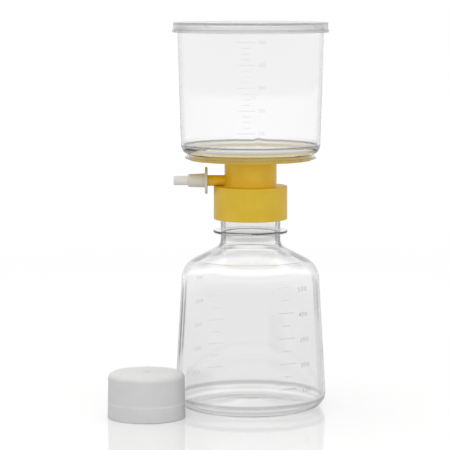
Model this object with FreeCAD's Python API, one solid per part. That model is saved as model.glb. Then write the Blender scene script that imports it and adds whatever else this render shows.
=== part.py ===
# Disposable vacuum filtration unit for a biology bench. A clear receiver bottle carries a
# screw-on filter base with a side arm, the base carries a clear funnel with a lid, and the
# bottle's own screw cap stands beside it, taken off.
# Millimetres. Z is the bottle's axis, the table is Z = 0, the front is -Y and the side arm
# points to -X. Outlines are (radius, height, fillet) corners, turned about Z.
import FreeCAD, Part
import math
import os

Vector = FreeCAD.Vector
ORIGIN = Vector(0, 0, 0)
UP = Vector(0, 0, 1)

# ---- Receiver bottle -------------------------------------------------------------------
foot_radius = 49.8          # where the line of the tapered wall meets the table
shoulder_radius = 44.35     # where it meets the line of the shoulder
shoulder_height = 93.2
shoulder_slope = 27.0       # degrees from level
shoulder_fillet = 15.0
heel_fillet = 9.5
bottle_wall = 1.7
push_up = 4.6               # how far the middle of the bottom is raised
push_up_flat = 6.0          # radius where the middle's flat meets the line of the dome's flank
push_up_fillet = 60.0
foot_ring_width = 11.3      # from the wall's line in to the push-up
foot_ring_fillet = 3.0
neck_radius = 19.4
neck_height = 34.6          # from the line of the shoulder to the mouth
neck_fillet = 6.0
bead_reach = 4.8
bead_thickness = 1.6
bead_drop = 26.2            # from the mouth to the underside of the bead
gate_radius = 2.6
gate_height = 0.4

# ---- Screw thread, shared by the neck, the collar and the cap ------------------------------
thread_pitch = 4.2
thread_depth = 2.0
thread_foot_share = 0.52    # the ridge's width at its root, as a share of the pitch
thread_crest_share = 0.24
sink = 0.2                  # how deep a ridge, rib or bar is rooted in its wall
thread_flank_gap = 0.2
thread_drop = 2.6           # from the mouth to the middle of the ridge's upper end
neck_thread_turns = 1.5
cap_thread_turns = 1.0
cap_thread_start = 90.0     # degrees along the neck's ridge
screw_gap = 0.3             # between a crest and the wall that faces it

# ---- Filter base ------------------------------------------------------------------------
gasket_thickness = 2.0
gasket_width = 4.4
collar_wall = 2.25
collar_roof = 2.2
collar_depth = 19.5         # inside, from the roof down to the rim
collar_edge_fillet = 0.7
stem_inset = 2.45           # how much thinner the stem is than the bottle's neck
stem_height = 16.9
stem_wall = 1.75
stem_fillet = 1.0
plate_thickness = 1.9
plate_edge_fillet = 0.9
drain_depth = 3.9           # from the plate's inner floor up to the tops of the ribs
rib_width = 0.8
rib_spacing = 4.4
rib_slot_width = 2.4
rib_slot_count = 6
membrane_inset = 0.8        # from the plate's edge to the membrane's edge
tube_radius = 6.5
tube_wall = 1.5
tube_drop = 6.4             # how far the outlet tube reaches below the bottle's mouth
tube_bevel = 35.0           # degrees
arm_radius = 3.55
arm_sink = 0.15             # how deep the side arm is rooted in the collar's roof
arm_reach = 3.95            # from the collar's side to the seat of the hose adapter
nose_step = 0.65            # how much thinner the arm's nose is than the arm
nose_length = 8.0
arm_bore_radius = 1.7
plug_length = 7.0
plug_depth = 0.5            # from the nose's end to the plug
plug_gap = 0.03

# ---- Hose adapter ------------------------------------------------------------------------
adapter_gap = 0.05
adapter_flange_radius = 8.75
adapter_flange_thickness = 1.8
wide_step_wall = 1.65
wide_step_length = 10.9
wide_step_taper = 0.35      # how much thinner the wide step is at its outer end
narrow_step_wall = 1.2
narrow_step_length = 9.4
adapter_chamfer = 0.45
adapter_bore_radius = 1.9
socket_spare = 0.5

# ---- Funnel and membrane --------------------------------------------------------------------
funnel_foot_radius = 45.0   # where the line of the wall meets the line of the bottom
funnel_top_radius = 47.45
funnel_foot_rise = 3.3      # from the plate's underside up to the line of the bottom
funnel_depth = 83.7         # from the line of the bottom to the rim
funnel_wall = 1.5
funnel_fillet = 6.5
ledge_thickness = 3.7
ledge_cover = 2.0           # how far the ledge overlaps the membrane
ledge_corner = 0.4          # the fillet between the ledge and the wall, inside
ledge_edge_fillet = 1.2
skirt_inset = 3.7
skirt_wall = 1.0
skirt_depth = 2.2           # from the line of the bottom down to the skirt's edge
flange_reach = 1.3
flange_thickness = 1.2
rim_reach = 1.1
rim_thickness = 2.0
rim_drop = 3.1              # from the rim to the underside of its flange
membrane_thickness = 0.2
seat_gap = 0.1

# ---- Lid ---------------------------------------------------------------------------------
lid_thickness = 1.4
lid_lift = 0.6              # the vent gap that the ribs hold open above the rim
lid_clearance = 0.25
lid_skirt_wall = 1.3
lid_skirt_depth = 5.1
lid_bead_reach = 0.6
lid_bead_height = 1.6
lid_edge_fillet = 0.5
lid_rib_width = 0.9
lid_rib_count = 4
lid_rib_angle = -35.0       # degrees from the front towards the right
lid_rib_length = 4.5

# ---- Cap, standing beside the bottle -----------------------------------------------------------
cap_wall = 3.2
cap_top = 2.0
cap_height = 28.7
cap_draft = 0.5             # how much narrower the cap is at the top
cap_fillet = 3.6
cap_gap = 2.2               # from the line of the bottle's foot
cap_bearing = 209.8         # degrees from +X, counter-clockwise
cap_groove_height = 9.8
cap_groove_depth = 0.15
seal_gap = 0.15
seal_wall = 1.0
seal_depth = 3.0
cap_gate_radius = 2.4

# ---- Graduations --------------------------------------------------------------------------
mark_height = 0.5
mark_relief = 0.3
bottle_first_mark = 18.3    # height of the 100 mL mark
bottle_mark_pitch = 16.2    # for each 100 mL
bottle_mark_angle = 29.5    # degrees from the front towards the right
funnel_first_mark = 16.5    # the 100 mL mark's height above the line of the funnel's bottom
funnel_mark_pitch = 14.3
funnel_mark_angle = -4.0
long_mark_angle = 14.0      # degrees of arc
short_mark_angle = 6.0

# ---- Worked out from the sizes above -------------------------------------------------------
bottle_taper = (foot_radius - shoulder_radius) / shoulder_height
shoulder_start = shoulder_height - shoulder_fillet * math.tan(math.radians(90 - shoulder_slope) / 2)
shoulder_rise = (shoulder_radius - neck_radius) * math.tan(math.radians(shoulder_slope))
neck_foot_height = shoulder_height + shoulder_rise
mouth_height = neck_foot_height + neck_height
neck_bore_radius = neck_radius - bottle_wall
screw_bore_radius = neck_radius + thread_depth + screw_gap
thread_foot = thread_foot_share * thread_pitch
thread_crest = thread_crest_share * thread_pitch

roof_height = mouth_height + gasket_thickness
collar_radius = screw_bore_radius + collar_wall
collar_top = roof_height + collar_roof
collar_rim = roof_height - collar_depth
stem_radius = neck_radius - stem_inset
stem_bore_radius = stem_radius - stem_wall
plate_underside = collar_top + stem_height
drain_floor = plate_underside + plate_thickness
membrane_height = drain_floor + drain_depth
ledge_underside = membrane_height + membrane_thickness
funnel_foot = plate_underside + funnel_foot_rise
rim_height = funnel_foot + funnel_depth
lid_underside = rim_height + lid_lift
lid_top = lid_underside + lid_thickness
lid_rim = lid_underside - lid_skirt_depth
tube_tip = mouth_height - tube_drop
tube_bore_radius = tube_radius - tube_wall

skirt_radius = funnel_foot_radius - skirt_inset
plate_radius = skirt_radius - skirt_wall - seat_gap
membrane_radius = plate_radius - membrane_inset
ledge_radius = membrane_radius - ledge_cover
rim_radius = funnel_top_radius + rim_reach
lid_bore_radius = rim_radius + lid_clearance
lid_radius = lid_bore_radius + lid_skirt_wall

arm_height = collar_top + arm_radius - arm_sink
arm_seat = collar_radius + arm_reach
nose_radius = arm_radius - nose_step
nose_end = arm_seat + nose_length
socket_radius = nose_radius + adapter_gap
cap_radius = screw_bore_radius + cap_wall
cap_distance = foot_radius + cap_radius + cap_gap
cap_place = Vector(
    cap_distance * math.cos(math.radians(cap_bearing)),
    cap_distance * math.sin(math.radians(cap_bearing)),
    0,
)


def turned(corners, sweep=360.0):
    """A solid of revolution about Z from a closed outline of (radius, height, fillet) corners."""
    stops = []
    for index, (radius, height, fillet) in enumerate(corners):
        tip = Vector(radius, 0, height)
        if fillet == 0:
            stops.append((tip, None, tip))
            continue
        before = corners[index - 1]
        after = corners[(index + 1) % len(corners)]
        back = (Vector(before[0], 0, before[1]) - tip).normalize()
        ahead = (Vector(after[0], 0, after[1]) - tip).normalize()
        half_angle = back.getAngle(ahead) / 2
        reach = fillet / math.tan(half_angle)
        inward = (back + ahead).normalize()
        middle = tip + inward * (fillet / math.sin(half_angle) - fillet)
        stops.append((tip + back * reach, middle, tip + ahead * reach))
    edges = []
    for index, (enter, middle, leave) in enumerate(stops):
        if middle is not None:
            edges.append(Part.Arc(enter, middle, leave).toShape())
        following = stops[(index + 1) % len(stops)][0]
        if (following - leave).Length > 1e-6:
            edges.append(Part.makeLine(leave, following))
    return Part.Face(Part.Wire(edges)).revolve(ORIGIN, UP, sweep)


def ring(inner, outer, bottom, top):
    """A plain ring with square edges."""
    return turned([(inner, bottom, 0), (outer, bottom, 0), (outer, top, 0), (inner, top, 0)])


def meeting(first, second):
    """Where two lines in the (radius, height) plane cross, each given by two points."""
    (ax, ay), (bx, by) = first
    (cx, cy), (dx, dy) = second
    across = (bx - ax) * (dy - cy) - (by - ay) * (dx - cx)
    along = ((cx - ax) * (dy - cy) - (cy - ay) * (dx - cx)) / across
    return (ax + along * (bx - ax), ay + along * (by - ay))


def inner_face(outer, wall):
    """The corners of a wall's inner face, for an outer face that runs from the axis to a mouth."""
    lines = [((0.0, -1.0), (0.0, 1.0))]
    for (ax, ay, _), (bx, by, _) in zip(outer, outer[1:]):
        length = math.hypot(bx - ax, by - ay)
        shift_x = -(by - ay) / length * wall
        shift_y = (bx - ax) / length * wall
        lines.append(((ax + shift_x, ay + shift_y), (bx + shift_x, by + shift_y)))
    lines.append(((0.0, outer[-1][1]), (1.0, outer[-1][1])))
    corners = []
    for index, (before, after) in enumerate(zip(lines, lines[1:])):
        fillet = outer[index][2]
        if fillet > 0:
            (ax, ay), (bx, by) = before
            (cx, cy), (dx, dy) = after
            bends_in = (bx - ax) * (dy - cy) - (by - ay) * (dx - cx) > 0
            fillet = max(fillet - wall, 0.3) if bends_in else fillet + wall
        corners.append((*meeting(before, after), fillet))
    return corners


def helical_ridge(root, crest, start_height, start_angle, turns):
    """A trapezoid ridge wound up a right-hand helix, from its root radius to its crest radius."""
    sunk_root = root - math.copysign(sink, crest - root)
    helix = Part.makeHelix(thread_pitch, thread_pitch * turns, crest)
    section = Part.makePolygon([
        Vector(sunk_root, 0, -thread_foot / 2),
        Vector(crest, 0, -thread_crest / 2),
        Vector(crest, 0, thread_crest / 2),
        Vector(sunk_root, 0, thread_foot / 2),
        Vector(sunk_root, 0, -thread_foot / 2),
    ])
    ridge = Part.Wire(helix.Edges).makePipeShell([section], True, True)
    ridge.rotate(ORIGIN, UP, start_angle)
    ridge.translate(Vector(0, 0, start_height))
    return ridge


def neck_thread(mouth):
    """The bottle's own ridge."""
    start = mouth - thread_drop - neck_thread_turns * thread_pitch
    return helical_ridge(neck_radius, neck_radius + thread_depth, start, 0, neck_thread_turns)


def cap_thread(mouth):
    """The ridge of a collar or cap that is screwed down on a mouth at this height."""
    start = mouth - thread_drop - neck_thread_turns * thread_pitch
    start += thread_pitch * cap_thread_start / 360
    start -= (thread_foot + thread_crest) / 2 + thread_flank_gap
    crest = screw_bore_radius - thread_depth
    return helical_ridge(screw_bore_radius, crest, start, cap_thread_start, cap_thread_turns)


def marks(radius_at, heights, centre_angle, arc):
    """Raised graduation bars on a tapered wall, centred at an angle from the front."""
    bars = []
    for height in heights:
        wall = radius_at(height)
        bar = turned([
            (wall - sink, height - mark_height / 2, 0),
            (wall + mark_relief, height - mark_height / 2, 0),
            (wall + mark_relief, height + mark_height / 2, 0),
            (wall - sink, height + mark_height / 2, 0),
        ], arc)
        bar.rotate(ORIGIN, UP, centre_angle - 90 - arc / 2)
        bars.append(bar)
    return bars


def steps(first, pitch, limit):
    """Evenly spaced heights from the first one up to a limit."""
    count = int((limit - first) / pitch) + 1
    return [first + pitch * step for step in range(count)]


def receiver_bottle():
    """One clear moulding: foot, tapered wall, shoulder, transfer bead and threaded neck."""
    ring_radius = foot_radius - foot_ring_width
    outer = [
        (0, push_up, 0),
        (push_up_flat, push_up, push_up_fillet),
        (ring_radius, 0, foot_ring_fillet),
        (foot_radius, 0, heel_fillet),
        (shoulder_radius, shoulder_height, shoulder_fillet),
        (neck_radius, neck_foot_height, neck_fillet),
        (neck_radius, mouth_height, 0),
    ]
    body = turned(outer + inner_face(outer, bottle_wall)[::-1])
    bead_height = mouth_height - bead_drop
    bead = turned([
        (neck_radius - bottle_wall / 2, bead_height, 0),
        (neck_radius + bead_reach, bead_height, bead_thickness * 0.45),
        (neck_radius + bead_reach, bead_height + bead_thickness, bead_thickness * 0.45),
        (neck_radius - bottle_wall / 2, bead_height + bead_thickness, 0),
    ])
    gate = Part.makeCylinder(gate_radius, gate_height + bottle_wall / 2,
                             Vector(0, 0, push_up - gate_height))

    def wall_radius(height):
        return foot_radius - bottle_taper * height

    heights = steps(bottle_first_mark, bottle_mark_pitch, shoulder_start)
    halves = [height - bottle_mark_pitch / 2 for height in heights[1:]]
    bars = []
    for turn in (0, 180):
        bars += marks(wall_radius, heights, bottle_mark_angle + turn, long_mark_angle)
        bars += marks(wall_radius, halves, bottle_mark_angle + turn, short_mark_angle)
    return body.fuse([bead, gate, neck_thread(mouth_height)] + bars).removeSplitter()


def bottle_cap():
    """One white moulding with its own thread and a plug seal, taken off and set down."""
    roof = cap_height - cap_top
    seal_radius = neck_bore_radius - seal_gap
    groove_radius = cap_radius - cap_draft * cap_groove_height / cap_height
    body = turned([
        (0, roof, 0),
        (seal_radius - seal_wall, roof, 0),
        (seal_radius - seal_wall, roof - seal_depth, 0.3),
        (seal_radius, roof - seal_depth, 0.3),
        (seal_radius, roof, 0),
        (screw_bore_radius, roof, 0),
        (screw_bore_radius, 0, 0),
        (cap_radius, 0, 0.4),
        (cap_radius - cap_draft, cap_height, cap_fillet),
        (0, cap_height, 0),
    ])
    groove = turned([
        (groove_radius - cap_groove_depth, cap_groove_height, 0),
        (groove_radius + 1, cap_groove_height - 0.4, 0),
        (groove_radius + 1, cap_groove_height + 0.4, 0),
    ])
    gate = Part.makeCylinder(cap_gate_radius, cap_top, Vector(0, 0, cap_height - cap_top * 0.15))
    cap = body.fuse(cap_thread(roof)).cut([groove, gate])
    cap.translate(cap_place)
    return cap


def filter_base():
    """One moulding: membrane plate, outlet tube, hollow stem, side arm and threaded collar."""
    plate_land = membrane_radius - ledge_cover
    body = turned([
        (tube_bore_radius, tube_tip, 0),
        (tube_bore_radius, drain_floor, 0),
        (plate_land, drain_floor, 0),
        (plate_land, membrane_height, 0),
        (plate_radius, membrane_height, 0),
        (plate_radius, plate_underside, plate_edge_fillet),
        (stem_radius, plate_underside, stem_fillet),
        (stem_radius, collar_top, stem_fillet),
        (collar_radius, collar_top, collar_edge_fillet),
        (collar_radius, collar_rim, collar_edge_fillet),
        (screw_bore_radius, collar_rim, collar_edge_fillet / 2),
        (screw_bore_radius, roof_height, 0),
        (stem_bore_radius, roof_height, 0),
        (stem_bore_radius, plate_underside, 0),
        (tube_radius, plate_underside, 0),
        (tube_radius, tube_tip, 0),
    ])
    ribs = []
    rib_radius = tube_bore_radius + rib_spacing / 2
    while rib_radius + rib_width < plate_land - rib_spacing / 4:
        ribs.append(ring(rib_radius, rib_radius + rib_width, drain_floor - sink, membrane_height))
        rib_radius += rib_spacing
    slots = []
    for step in range(rib_slot_count):
        slot = Part.makeBox(plate_land, rib_slot_width, drain_depth,
                            Vector(0, -rib_slot_width / 2, drain_floor))
        slot.rotate(ORIGIN, UP, 360 * step / rib_slot_count)
        slots.append(slot)
    west = Vector(-1, 0, 0)
    arm_root = stem_bore_radius + stem_wall / 2
    bore_start = (tube_radius + stem_bore_radius) / 2
    arm = Part.makeCylinder(arm_radius, arm_seat - arm_root, Vector(-arm_root, 0, arm_height),
                            west)
    nose = Part.makeCylinder(nose_radius, nose_end - arm_root, Vector(-arm_root, 0, arm_height),
                             west)
    bore = Part.makeCylinder(arm_bore_radius, nose_end, Vector(-bore_start, 0, arm_height), west)
    width = 4 * tube_radius
    bevel = Part.makeBox(width, width, width, Vector(-width / 2, -width / 2, -width))
    bevel.rotate(ORIGIN, Vector(0, 1, 0), tube_bevel)
    bevel.translate(Vector(0, 0, tube_tip + tube_radius * math.tan(math.radians(tube_bevel))))
    below_roof = Part.makeCylinder(tube_radius + 0.5, mouth_height - tube_tip + 1,
                                   Vector(0, 0, tube_tip - 1))
    grid = ribs[0].fuse(ribs[1:]).cut(slots)
    body = body.fuse([grid, arm, nose, cap_thread(mouth_height)])
    return body.cut([bore, bevel.common(below_roof)]).removeSplitter()


def neck_gasket():
    """The soft ring between the collar's roof and the bottle's mouth."""
    outer = screw_bore_radius - screw_gap
    return ring(outer - gasket_width, outer, mouth_height, roof_height)


def arm_plug():
    """The wad in the side arm's bore."""
    return Part.makeCylinder(arm_bore_radius - plug_gap, plug_length,
                             Vector(plug_length + plug_depth - nose_end, 0, arm_height),
                             Vector(-1, 0, 0))


def hose_adapter():
    """A flanged adapter with two steps for two sizes of hose, pushed on the arm's nose."""
    flange = adapter_flange_thickness
    wide_end = flange + wide_step_length
    narrow_end = wide_end + narrow_step_length
    wide_step_radius = socket_radius + wide_step_wall
    wide_tip_radius = wide_step_radius - wide_step_taper
    narrow_step_radius = adapter_bore_radius + narrow_step_wall
    socket_end = nose_length + socket_spare
    adapter = turned([
        (socket_radius, 0, 0),
        (adapter_flange_radius, 0, flange / 4),
        (adapter_flange_radius, flange, flange / 4),
        (wide_step_radius, flange, flange / 4),
        (wide_tip_radius, wide_end - adapter_chamfer, 0),
        (wide_tip_radius - adapter_chamfer, wide_end, 0),
        (narrow_step_radius, wide_end, 0),
        (narrow_step_radius, narrow_end - adapter_chamfer, 0),
        (narrow_step_radius - adapter_chamfer, narrow_end, 0),
        (adapter_bore_radius, narrow_end, 0),
        (adapter_bore_radius, socket_end + socket_radius - adapter_bore_radius, 0),
        (socket_radius, socket_end, 0),
    ])
    adapter.rotate(ORIGIN, Vector(0, 1, 0), -90)
    adapter.translate(Vector(-arm_seat, 0, arm_height))
    return adapter


def filter_membrane():
    """The filter disc, clamped at its edge between the plate's land and the funnel's ledge."""
    return Part.makeCylinder(membrane_radius, membrane_thickness, Vector(0, 0, membrane_height))


def funnel():
    """One clear moulding: thick ledge, tapered wall, rim flange, and the skirt around the plate."""
    taper = (funnel_top_radius - funnel_foot_radius) / funnel_depth
    floor = ledge_underside + ledge_thickness
    floor_radius = funnel_foot_radius - funnel_wall + taper * (floor - funnel_foot)
    bowl = turned([
        (ledge_radius, funnel_foot, 0),
        (funnel_foot_radius, funnel_foot, funnel_fillet),
        (funnel_top_radius, rim_height, 0.4),
        (funnel_top_radius - funnel_wall, rim_height, 0.4),
        (floor_radius, floor, ledge_corner),
        (ledge_radius, floor, ledge_edge_fillet),
    ])
    skirt_bore = skirt_radius - skirt_wall
    skirt_foot = funnel_foot - skirt_depth
    skirt = ring(skirt_bore, skirt_radius, skirt_foot, funnel_foot + skirt_wall)
    flange = turned([
        (skirt_bore, skirt_foot, 0),
        (skirt_radius + flange_reach, skirt_foot, 0.3),
        (skirt_radius + flange_reach, skirt_foot + flange_thickness, 0.3),
        (skirt_bore, skirt_foot + flange_thickness, 0),
    ])
    plate_space = Part.makeCylinder(skirt_bore, ledge_underside - skirt_foot,
                                    Vector(0, 0, skirt_foot))
    rim_foot = rim_height - rim_drop
    rim = turned([
        (funnel_top_radius - funnel_wall / 2, rim_foot, 0),
        (rim_radius, rim_foot, 0.4),
        (rim_radius, rim_foot + rim_thickness, 0.4),
        (funnel_top_radius - funnel_wall / 2, rim_foot + rim_thickness, 0),
    ])

    def wall_radius(height):
        return funnel_foot_radius + taper * (height - funnel_foot)

    first = funnel_foot + funnel_first_mark
    heights = steps(first, funnel_mark_pitch, rim_foot)
    quarters = []
    for height in heights[1:]:
        quarters += [height - funnel_mark_pitch * part / 4 for part in (1, 2, 3)]
    bars = marks(wall_radius, heights, funnel_mark_angle, long_mark_angle)
    bars += marks(wall_radius, quarters, funnel_mark_angle, short_mark_angle)
    return bowl.fuse([skirt, flange, rim] + bars).cut(plate_space).removeSplitter()


def funnel_lid():
    """One clear moulding: a disc with a skirt, a bead and vent ribs that rest on the rim."""
    bead_top = lid_rim + lid_bead_height
    body = turned([
        (0, lid_underside, 0),
        (lid_bore_radius, lid_underside, 0.4),
        (lid_bore_radius, lid_rim, 0.2),
        (lid_radius + lid_bead_reach, lid_rim, 0.4),
        (lid_radius + lid_bead_reach, bead_top, 0.4),
        (lid_radius, bead_top, 0.15),
        (lid_radius, lid_top, lid_edge_fillet),
        (0, lid_top, 0),
    ])
    hook_foot = rim_height - rim_drop + rim_thickness + seat_gap
    hook_radius = funnel_top_radius + seat_gap
    ribs = []
    for step in range(lid_rib_count):
        bar = Part.makeBox(lid_rib_length, lid_rib_width, lid_lift + sink,
                           Vector(lid_bore_radius + sink - lid_rib_length, -lid_rib_width / 2,
                                  rim_height))
        hook = Part.makeBox(lid_bore_radius + sink - hook_radius, lid_rib_width,
                            lid_underside + sink - hook_foot,
                            Vector(hook_radius, -lid_rib_width / 2, hook_foot))
        rib = bar.fuse(hook)
        rib.rotate(ORIGIN, UP, lid_rib_angle - 90 + 360 * step / lid_rib_count)
        ribs.append(rib)
    return body.fuse(ribs).removeSplitter()


pieces = {
    "receiver_bottle": receiver_bottle,
    "bottle_cap": bottle_cap,
    "neck_gasket": neck_gasket,
    "filter_base": filter_base,
    "arm_plug": arm_plug,
    "hose_adapter": hose_adapter,
    "filter_membrane": filter_membrane,
    "funnel": funnel,
    "funnel_lid": funnel_lid,
}

os.makedirs("parts", exist_ok=True)
for name, build in pieces.items():
    shape = build()
    shape.exportStep(f"parts/{name}.step")
    print(f"{name}: {len(shape.Solids)} solid, {shape.Volume / 1000:.2f} cm3, "
          f"valid {shape.isValid()}")
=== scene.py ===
# Looks of the vacuum filtration unit: a finish for every CAD piece, raised numbers, studio, camera.
import bpy
import math
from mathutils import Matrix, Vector
from typing import NamedTuple


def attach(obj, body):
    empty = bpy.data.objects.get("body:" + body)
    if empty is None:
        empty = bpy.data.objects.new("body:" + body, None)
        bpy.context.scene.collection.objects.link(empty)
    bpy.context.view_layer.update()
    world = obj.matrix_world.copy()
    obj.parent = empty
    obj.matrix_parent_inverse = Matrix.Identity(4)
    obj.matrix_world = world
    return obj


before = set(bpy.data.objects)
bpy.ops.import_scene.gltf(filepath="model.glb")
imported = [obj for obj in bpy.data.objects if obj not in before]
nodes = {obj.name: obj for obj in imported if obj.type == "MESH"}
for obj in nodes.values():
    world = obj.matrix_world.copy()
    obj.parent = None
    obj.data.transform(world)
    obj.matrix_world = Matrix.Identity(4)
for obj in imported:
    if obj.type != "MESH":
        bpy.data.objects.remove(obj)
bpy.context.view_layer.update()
scene = bpy.context.scene
scene.view_settings.view_transform = "Standard"
MM = 0.001


class Wall(NamedTuple):
    """The outside of a tapered wall: its radius at height 0, and what it gains for each metre up."""

    foot_radius: float
    taper: float


class PaintedEdgeLine(NamedTuple):
    """A painted dark line along an outline: painted shade where the wall is seen through its whole depth.
    """

    turned: list        # how strong it is, against how far the wall turns away
    heights: list       # how strong it is, against the height in millimetres
    level: float        # what the colour is multiplied by
    left: float = 1.0   # how much of it the -X side has
    right: float = 1.0


class PaintedRing(NamedTuple):
    """A ring of painted shade round the axis, in millimetres; where its level is coloured, a painted
    reflection.
    """

    radius: float
    height: float
    reach: float              # how far from that circle it fades out
    level: float | tuple      # what the colour is multiplied by
    turned_from: float = 0.0  # how far the wall has to turn away to show it; at 0 it always shows


class Band(NamedTuple):
    """A stretch of a piece that is brighter than the rest, in millimetres along an axis."""

    axis: str
    low: float
    high: float
    glow: tuple               # what the colour is multiplied by


class Lettering(NamedTuple):
    """How the numbers on a wall are set."""

    size: float
    spacing: float            # 1 is the typeface's own
    wall: Wall
    body: str
    look: bpy.types.Material


# ---- Places on the CAD model that the looks follow, in metres --------------------------------
BOTTLE_WALL = Wall(49.8 * MM, -5.45 / 93.2)
FUNNEL_WALL = Wall(40.173 * MM, 2.45 / 83.7)
HEIGHT_SPAN = 0.26          # the stops of a height ramp are shares of this height
LABELS = (100, 200, 300, 400, 500)                  # millilitres, from the lowest long mark up
BOTTLE_MARKS = [(label, (18.3 + 16.2 * step) * MM) for step, label in enumerate(LABELS)]
FUNNEL_MARKS = [(label, (181.41 + 14.3 * step) * MM) for step, label in enumerate(LABELS)]
BOTTLE_BEARINGS = {"front": 46.8, "back": 229.5}    # degrees from the front towards the right
FUNNEL_BEARING = 8.0
UNDER_LINE = 2.0 * MM       # how far a bottle's number is centred below its line
NUMBER_RELIEF = 0.12 * MM   # how far a number stands out of its wall, and is rooted in it
PROUD = 0.1 * MM            # what stands further out of a wall than this is a mark or a number

# ---- Tints of the clear plastic: marks, and painted shade and reflection ---------------------
ABSORPTION = 8.0            # for each metre of depth
MARK_TINT = 0.78
SHADOW_TINT = 0.96          # what a clear surface lets through to its shadow
LEFT_TO_RIGHT = 40 * MM     # the width in which the left's share of a line gives way to the right's
RING_CORE = 0.4             # the share of a ring's reach that has its full strength
TURN_FADE = 0.15            # how much further a wall turns until a ring shows in full

# Painted shade along the bottle's outlines, neck and shoulder; stronger on the left side than the right
WALL_LEFT = PaintedEdgeLine(
    turned=[(0.70, 0.0), (0.73, 1.0), (0.79, 1.0), (0.83, 0.0)],
    heights=[(28, 0.3), (38, 1.0), (64, 1.0), (78, 0.8), (84, 0.0)],
    level=0.03,
    right=0.0,
)
WALL_RIGHT = PaintedEdgeLine(
    turned=[(0.63, 0.0), (0.68, 1.0), (0.75, 1.0), (0.80, 0.0)],
    heights=[(20, 0.45), (54, 0.45), (64, 0.8), (70, 1.0), (82, 1.0), (90, 0.0)],
    level=0.4,
    left=0.0,
)
NECK_BUT_NOT_BEAD = PaintedEdgeLine(
    turned=[(0.55, 0.0), (0.64, 1.0), (0.93, 1.0), (1.0, 0.4)],
    heights=[
        (104, 0.0), (106, 1.0), (113.2, 1.0), (113.8, 0.0),
        (116.4, 0.0), (117, 1.0), (125, 1.0), (126, 0.0),
    ],
    level=0.15,
)
SHOULDER = PaintedEdgeLine(
    turned=[(0.68, 0.0), (0.74, 1.0), (0.84, 1.0), (0.90, 0.0)],
    heights=[(95, 0.0), (97, 1.0), (101, 1.0), (103, 0.0)],
    level=0.22,
)
BOTTLE_LINES = [WALL_LEFT, WALL_RIGHT, NECK_BUT_NOT_BEAD, SHOULDER]

# Painted shade in rings at the bottle's heel, neck fillet and bead
UPPER_HEEL = PaintedRing(48.8, 6.8, 2.2, 0.5)
LOWER_HEEL = PaintedRing(47.3, 2.6, 3.6, 0.55, turned_from=0.14)
NECK_FILLET = PaintedRing(20.5, 108.0, 3.0, 0.5, turned_from=0.45)
UNDER_BEAD = PaintedRing(19.4, 111.8, 2.8, 0.62)
WHOLE_NECK = PaintedRing(18.5, 119.0, 10.0, 0.85)
BOTTLE_RINGS = [UPPER_HEEL, LOWER_HEEL, NECK_FILLET, UNDER_BEAD, WHOLE_NECK]

# Painted shade on the funnel and lid: a dark outline and rings; on the funnel's foot also a painted
# reflection of the yellow base
FUNNEL_OUTLINE = PaintedEdgeLine(turned=[(0.7, 0.0), (1.0, 1.0)], heights=[(0, 1.0), (260, 1.0)], level=0.5)
LEDGE_CORNER = PaintedRing(44.1, 171.4, 1.1, 0.08)
FUNNEL_FOOT = PaintedRing(44.3, 167.0, 2.6, (0.95, 0.85, 0.46))        # painted reflection of the base's yellow
FUNNEL_FOOT_CORE = PaintedRing(44.6, 167.6, 2.1, (0.66, 0.55, 0.42))
LID_BEAD = PaintedRing(50.4, 245.6, 1.4, 0.62)

# ---- Brighter stretches of the moulded pieces ------------------------------------------------
# Painted light: the stem under the plate is lifted where it falls in the plate's shade
BASE_STEM_PAINTED_LIGHT = Band("Z", 144.8, 161.5, (1.15, 1.13, 0.85))
# Painted highlight along the cap's groove
CAP_GROOVE_PAINTED_HIGHLIGHT = Band("Z", 9.1, 10.5, (1.1, 1.1, 1.1))
ADAPTER_NARROW_STEP = Band("X", -55.0, -41.0, (1.11, 1.18, 1.34))


# ---- Camera -------------------------------------------------------------------------------
def set_camera():
    """A long lens, a little higher than the lid and left of the bottle's axis, aimed slightly down."""
    distance = 1.4372
    height = 0.2755
    aim_height = 0.1190
    left_of_axis = 0.0166
    data = bpy.data.cameras.new("camera")
    data.sensor_width = 36.0
    data.lens = 177.67
    camera = bpy.data.objects.new("camera", data)
    camera.location = (-left_of_axis, -distance, height)
    pitch = math.atan((height - aim_height) / distance)
    camera.rotation_euler = (math.pi / 2 - pitch, 0, 0)
    scene.collection.objects.link(camera)
    scene.camera = camera


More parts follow.
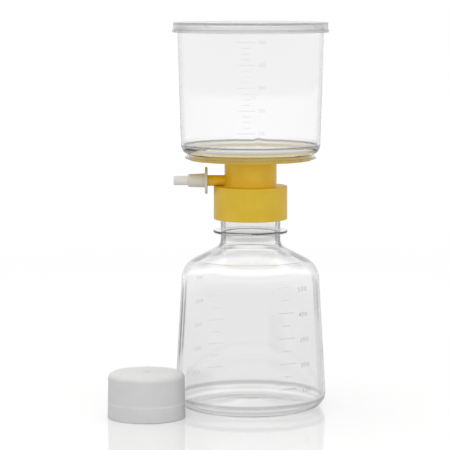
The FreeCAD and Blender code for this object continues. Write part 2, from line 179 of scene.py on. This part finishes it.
# ---- Node helpers -------------------------------------------------------------------------
class Shader:
    """A short way to add and link nodes in a material or a world."""

    def __init__(self, owner):
        owner.use_nodes = True
        self.tree = owner.node_tree
        self.tree.nodes.clear()

    def add(self, kind, settings=None, **inputs):
        """Adds a node. An input's name has an underscore for each space."""
        node = self.tree.nodes.new("ShaderNode" + kind)
        for name, value in (settings or {}).items():
            setattr(node, name, value)
        for name, value in inputs.items():
            self.put(node.inputs[name.replace("_", " ")], value)
        return node

    def put(self, socket, value):
        """Links a socket to another one, or sets its own value."""
        if isinstance(value, bpy.types.NodeSocket):
            self.tree.links.new(value, socket)
        else:
            socket.default_value = value

    def maths(self, operation, *values):
        node = self.add("Math", {"operation": operation})
        for socket, value in zip(node.inputs, values):
            self.put(socket, value)
        return node.outputs["Value"]

    def ramp(self, factor, stops):
        """Grey or colour that eases between (place, level) stops, from a factor of 0 to 1."""
        node = self.add("ValToRGB", Fac=factor)
        band = node.color_ramp
        band.interpolation = "EASE"
        while len(band.elements) < len(stops):
            band.elements.new(0.5)
        for element, (place, level) in zip(band.elements, stops):
            element.position = place
            element.color = colour(level)
        return node.outputs["Color"]

    def noise(self, where, size, detail=2.0, roughness=0.5):
        """Noise whose lumps are about this many metres across."""
        node = self.add("TexNoise", Vector=where, Scale=1.0 / size, Detail=detail, Roughness=roughness)
        return node.outputs["Fac"]

    def distance(self, first, second):
        """How far from an axis a place is, from its two numbers across that axis."""
        squares = [self.maths("MULTIPLY", value, value) for value in (first, second)]
        return self.maths("SQRT", self.maths("ADD", *squares))

    def blend(self, kind, factor, first, second):
        node = self.add("MixRGB", {"blend_type": kind}, Fac=factor, Color1=first, Color2=second)
        return node.outputs["Color"]

    def bump(self, height, distance):
        node = self.add("Bump", Height=height, Distance=distance, Strength=1.0)
        return node.outputs["Normal"]

    def mix(self, factor, first, second):
        node = self.add("MixShader", Fac=factor)
        self.put(node.inputs[1], first)
        self.put(node.inputs[2], second)
        return node.outputs["Shader"]


def colour(level):
    """Four colour numbers from a grey level or three numbers."""
    return (*level, 1.0) if isinstance(level, tuple) else (level, level, level, 1.0)


def object_place(shader):
    return shader.add("TexCoord").outputs["Object"]


# ---- Finishes -----------------------------------------------------------------------------
def proud_of_wall(shader, across, height, wall):
    """1 on what stands out from a tapered wall, such as its graduation marks, and 0 elsewhere."""
    foot_radius, taper = wall
    line = shader.maths("MULTIPLY_ADD", height, taper, foot_radius)
    return shader.maths("GREATER_THAN", shader.maths("SUBTRACT", across, line), PROUD)


def by_height(shader, height, stops):
    """Grey against height, from (millimetres, level) stops."""
    shares = [(place * MM / HEIGHT_SPAN, level) for place, level in stops]
    return shader.ramp(shader.maths("DIVIDE", height, HEIGHT_SPAN), shares)


def edge_line(shader, tint, facing, axes, line):
    """Paints shade into the tint along an outline."""
    turned = shader.ramp(facing, line.turned)
    amount = shader.maths("MULTIPLY", turned, by_height(shader, axes["Z"], line.heights))
    side = shader.maths("MULTIPLY_ADD", axes["X"], 1.0 / LEFT_TO_RIGHT, 0.5)
    share = shader.ramp(side, [(0.0, line.left), (1.0, line.right)])
    amount = shader.maths("MULTIPLY", amount, share)
    return shader.blend("MULTIPLY", amount, tint, colour(line.level))


def ring_shade(shader, tint, facing, across, height, ring):
    """Paints shade, or a coloured painted reflection, into the tint in a ring round the axis."""
    sideways = shader.maths("SUBTRACT", across, ring.radius * MM)
    upwards = shader.maths("SUBTRACT", height, ring.height * MM)
    away = shader.maths("DIVIDE", shader.distance(sideways, upwards), ring.reach * MM)
    amount = shader.ramp(away, [(RING_CORE, 1.0), (1.0, 0.0)])
    if ring.turned_from:
        turned = [(ring.turned_from, 0.0), (ring.turned_from + TURN_FADE, 1.0)]
        amount = shader.maths("MULTIPLY", amount, shader.ramp(facing, turned))
    return shader.blend("MULTIPLY", amount, tint, colour(ring.level))


def clear_plastic(name, ior, ripple, ripple_size, lines, rings, wall=None, roughness=0.03, clearness=1.0):
    """Clear moulded plastic with ripples from the mould.

    Its lines and rings are painted shade, and a painted reflection where coloured: they stand for the dark
    edges of a studio, which gather where a moulding turns away or is thick. wall is the tapered wall that
    carries raised marks, if it has one.
    """
    material = bpy.data.materials.new(name)
    shader = Shader(material)
    place = object_place(shader)
    ripples = shader.noise(place, ripple_size, detail=1.5)
    axes = shader.add("SeparateXYZ", Vector=place).outputs
    across = shader.distance(axes["X"], axes["Y"])
    facing = shader.add("LayerWeight", Blend=0.5).outputs["Facing"]
    tint = colour(1.0)
    if wall:
        marks = proud_of_wall(shader, across, axes["Z"], wall)
        tint = shader.blend("MULTIPLY", marks, tint, colour(MARK_TINT))
    # The lines and rings paint shade, and a coloured reflection, into the colour
    for line in lines:
        tint = edge_line(shader, tint, facing, axes, line)
    for ring in rings:
        tint = ring_shade(shader, tint, facing, across, axes["Z"], ring)
    plastic = shader.add(
        "BsdfPrincipled",
        Base_Color=tint,
        Roughness=roughness,
        IOR=ior,
        Transmission_Weight=clearness,
        Normal=shader.bump(ripples, ripple),
    )
    open_way = shader.add("BsdfTransparent", Color=colour(SHADOW_TINT))
    shadow_ray = shader.add("LightPath").outputs["Is Shadow Ray"]
    surface = shader.mix(shadow_ray, plastic.outputs["BSDF"], open_way.outputs["BSDF"])
    depth = shader.add("VolumeAbsorption", Color=colour(0.0), Density=ABSORPTION)
    shader.add("OutputMaterial", Surface=surface, Volume=depth.outputs["Volume"])
    return material


def moulded(name, base, second, roughness, texture, texture_size, band=None):
    """Solid moulded plastic: a slight cloud of a second tone and a fine spark-eroded texture."""
    mottle_size = 12 * MM
    sheen_size = 0.6 * mottle_size
    sheen_spread = 0.10
    material = bpy.data.materials.new(name)
    shader = Shader(material)
    place = object_place(shader)
    cloud = shader.ramp(shader.noise(place, mottle_size, detail=3.0), [(0.35, base), (0.68, second)])
    # The band brightens a stretch of the colour; on the base's stem and the cap's groove it is painted
    # light
    if band:
        along = shader.add("SeparateXYZ", Vector=place).outputs[band.axis]
        middle = (band.low + band.high) / 2 * MM
        half_length = (band.high - band.low) / 2 * MM
        inside = shader.maths("COMPARE", along, middle, half_length)
        cloud = shader.blend("MULTIPLY", inside, cloud, colour(band.glow))
    grain = shader.noise(place, texture_size, roughness=0.6)
    patches = shader.noise(place, sheen_size)
    sheen = shader.maths("MULTIPLY_ADD", patches, sheen_spread, roughness - sheen_spread / 2)
    plastic = shader.add(
        "BsdfPrincipled",
        Base_Color=cloud,
        Roughness=sheen,
        IOR=1.49,
        Normal=shader.bump(grain, texture),
    )
    shader.add("OutputMaterial", Surface=plastic.outputs["BSDF"])
    return material


def clear_looks():
    """The bottle, the funnel and the lid."""
    return {
        "receiver_bottle": clear_plastic(
            "bottle_plastic", ior=1.57, ripple=0.04 * MM, ripple_size=22 * MM,
            lines=BOTTLE_LINES, rings=BOTTLE_RINGS, wall=BOTTLE_WALL),
        "funnel": clear_plastic(
            "funnel_plastic", ior=1.58, ripple=0.02 * MM, ripple_size=30 * MM,
            lines=[FUNNEL_OUTLINE], rings=[LEDGE_CORNER, FUNNEL_FOOT, FUNNEL_FOOT_CORE], wall=FUNNEL_WALL),
        "funnel_lid": clear_plastic(
            "lid_plastic", ior=1.58, ripple=0.02 * MM, ripple_size=30 * MM,
            lines=[], rings=[LID_BEAD], roughness=0.12, clearness=0.85),
    }


def moulded_looks():
    """The pieces that can't be seen through."""
    return {
        "filter_base": moulded(
            "yellow_plastic_look", base=(0.80, 0.53, 0.025), second=(0.84, 0.57, 0.035),
            roughness=0.36, texture=0.01 * MM, texture_size=0.6 * MM, band=BASE_STEM_PAINTED_LIGHT),
        "bottle_cap": moulded(
            "white_plastic_look", base=(0.71, 0.71, 0.71), second=(0.74, 0.74, 0.74),
            roughness=0.45, texture=0.01 * MM, texture_size=0.5 * MM, band=CAP_GROOVE_PAINTED_HIGHLIGHT),
        "hose_adapter": moulded(
            "milky_plastic_look", base=(0.72, 0.67, 0.56), second=(0.76, 0.72, 0.63),
            roughness=0.4, texture=0.01 * MM, texture_size=0.6 * MM, band=ADAPTER_NARROW_STEP),
        "neck_gasket": moulded(
            "seal_look", base=(0.55, 0.55, 0.54), second=(0.6, 0.6, 0.58),
            roughness=0.6, texture=0.01 * MM, texture_size=0.8 * MM),
        "filter_membrane": moulded(
            "membrane_look", base=(0.93, 0.93, 0.92), second=(0.96, 0.96, 0.96),
            roughness=0.8, texture=0.02 * MM, texture_size=0.4 * MM),
        "arm_plug": moulded(
            "cotton_look", base=(0.8, 0.8, 0.78), second=(0.88, 0.88, 0.86),
            roughness=0.9, texture=0.1 * MM, texture_size=0.4 * MM),
    }


def finish_pieces():
    """Gives every CAD piece its material, and returns the materials by piece."""
    looks = {**clear_looks(), **moulded_looks()}
    for name, look in looks.items():
        for slot in nodes[name].material_slots:
            slot.material = look
    return looks


# ---- Raised numbers -------------------------------------------------------------------------
def add_number(name, label, lettering, height, bearing):
    """A plain number in relief on a tapered wall, centred at a height and a bearing."""
    letters = bpy.data.curves.new(name, "FONT")
    letters.body = str(label)
    letters.size = lettering.size
    letters.space_character = lettering.spacing
    letters.extrude = NUMBER_RELIEF
    letters.resolution_u = 3
    letters.align_x = "CENTER"
    letters.align_y = "CENTER"
    flat = bpy.data.objects.new(name, letters)
    mesh = bpy.data.meshes.new_from_object(flat)
    bpy.data.objects.remove(flat)
    bpy.data.curves.remove(letters)
    foot_radius, taper = lettering.wall
    for vertex in mesh.vertices:
        along, up, out = vertex.co
        radius = foot_radius + taper * (height + up) + out
        angle = math.radians(bearing) + along / radius
        vertex.co = (radius * math.sin(angle), -radius * math.cos(angle), height + up)
    mesh.name = name
    mesh.materials.clear()
    mesh.materials.append(lettering.look)
    number = bpy.data.objects.new(name, mesh)
    scene.collection.objects.link(number)
    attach(number, lettering.body)


def add_numbers(looks):
    """The millilitres beside each long mark, a little under its line on the bottle."""
    on_bottle = Lettering(4.2 * MM, 1.4, BOTTLE_WALL, "bottle", looks["receiver_bottle"])
    on_funnel = Lettering(3.4 * MM, 1.0, FUNNEL_WALL, "filter_top", looks["funnel"])
    for label, height in BOTTLE_MARKS:
        for side, bearing in BOTTLE_BEARINGS.items():
            name = f"bottle_number_{side}_{label}"
            add_number(name, label, on_bottle, height - UNDER_LINE, bearing)
    for label, height in FUNNEL_MARKS:
        add_number(f"funnel_number_{label}", label, on_funnel, height, FUNNEL_BEARING)


# ---- Studio -------------------------------------------------------------------------------
def floor_material(half_width):
    """White acrylic, lifted towards white for the camera, with a shadow and a faint mirror image. Seen
    through clear plastic it glows at set levels instead: painted light and shade.

    The ramps run from the axis out to the floor's half width.
    """
    lift_stops = [(0.05, 0.36), (0.15, 0.40), (0.5, 0.8)]
    # Painted light and shade for the floor seen through clear plastic: darker from about 7 cm to half a
    # metre out, brighter from about one to 1.3 metres out
    through_stops = [
        (0.012, 0.9), (0.017, 0.80), (0.13, 0.80), (0.17, 0.92),
        (0.24, 1.15), (0.33, 1.15), (0.45, 1.0),
    ]
    material = bpy.data.materials.new("floor")
    shader = Shader(material)
    ray = shader.add("LightPath").outputs
    place = shader.add("SeparateXYZ", Vector=object_place(shader)).outputs
    far = shader.maths("DIVIDE", shader.distance(place["X"], place["Y"]), half_width)
    lift = shader.maths("MULTIPLY", ray["Is Camera Ray"], shader.ramp(far, lift_stops))
    white = shader.add("BsdfDiffuse", Color=colour(0.62))
    glow = shader.add("Emission", Color=colour(1.0), Strength=lift)
    matt = shader.add("AddShader")
    shader.put(matt.inputs[0], white.outputs["BSDF"])
    shader.put(matt.inputs[1], glow.outputs["Emission"])
    gloss = shader.add("BsdfGlossy", Color=colour(1.0), Roughness=0.03)
    fresnel = shader.add("Fresnel", IOR=2.1).outputs["Fac"]
    surface = shader.mix(fresnel, matt.outputs["Shader"], gloss.outputs["BSDF"])
    # The floor glows for rays through clear plastic: painted light and shade
    through = shader.add("Emission", Color=shader.ramp(far, through_stops), Strength=1.0)
    surface = shader.mix(ray["Is Transmission Ray"], surface, through.outputs["Emission"])
    shader.add("OutputMaterial", Surface=surface)
    return material


def make_floor():
    """A wide level sheet, a hair below the foot."""
    half_width = 4.0
    gap_below_foot = 0.05 * MM
    corners = [(x * half_width, y * half_width, 0) for x, y in ((-1, -1), (1, -1), (1, 1), (-1, 1))]
    mesh = bpy.data.meshes.new("floor")
    mesh.from_pydata(corners, [], [(0, 1, 2, 3)])
    mesh.materials.append(floor_material(half_width))
    floor = bpy.data.objects.new("floor", mesh)
    floor.location.z = -gap_below_foot
    scene.collection.objects.link(floor)


def light_studio():
    """Soft light from all round, white to the camera, with darker zones for gloss and glass.

    The ramps run from straight down to straight up.
    """
    soft_stops = [(0.45, 0.50), (0.75, 0.62), (1.0, 0.8)]
    mirrored_stops = [(0.74, 0.97), (0.79, 0.35), (0.86, 0.35), (0.9, 1.2)]
    through_stops = [(0.50, 0.92), (0.52, 0.72), (0.62, 0.72), (0.70, 0.92), (0.79, 0.7), (0.9, 1.2)]
    world = bpy.data.worlds.new("studio")
    scene.world = world
    shader = Shader(world)
    ray = shader.add("LightPath").outputs
    direction = shader.add("TexCoord").outputs["Generated"]
    height = shader.add("SeparateXYZ", Vector=direction).outputs["Z"]
    rise = shader.maths("MULTIPLY_ADD", height, 0.5, 0.5)
    soft = shader.ramp(rise, soft_stops)
    level = shader.blend("MIX", ray["Is Glossy Ray"], soft, shader.ramp(rise, mirrored_stops))
    level = shader.blend("MIX", ray["Is Transmission Ray"], level, shader.ramp(rise, through_stops))
    shown = shader.blend("MIX", ray["Is Camera Ray"], level, colour(1.0))
    light = shader.add("Background", Color=shown, Strength=1.0)
    shader.add("OutputWorld", Surface=light.outputs["Background"])


def add_lamp(name, place, target, size, strength):
    data = bpy.data.lights.new(name, "AREA")
    data.shape = "RECTANGLE"
    data.size, data.size_y = size
    data.energy = strength
    lamp = bpy.data.objects.new(name, data)
    lamp.location = place
    lamp.rotation_euler = (Vector(target) - Vector(place)).to_track_quat("-Z", "Y").to_euler()
    # The lamps light the object but show in nothing
    lamp.visible_glossy = False
    lamp.visible_transmission = False
    lamp.visible_camera = False
    scene.collection.objects.link(lamp)


def add_lamps():
    centre = (0, 0, 0.12)
    add_lamp("overhead", (0, 0.1, 1.3), centre, (1.2, 1.2), 7.5)
    add_lamp("front_fill", (-0.1, -1.6, 0.9), centre, (1.0, 1.0), 5.5)


set_camera()
add_numbers(finish_pieces())
make_floor()
light_studio()
add_lamps()
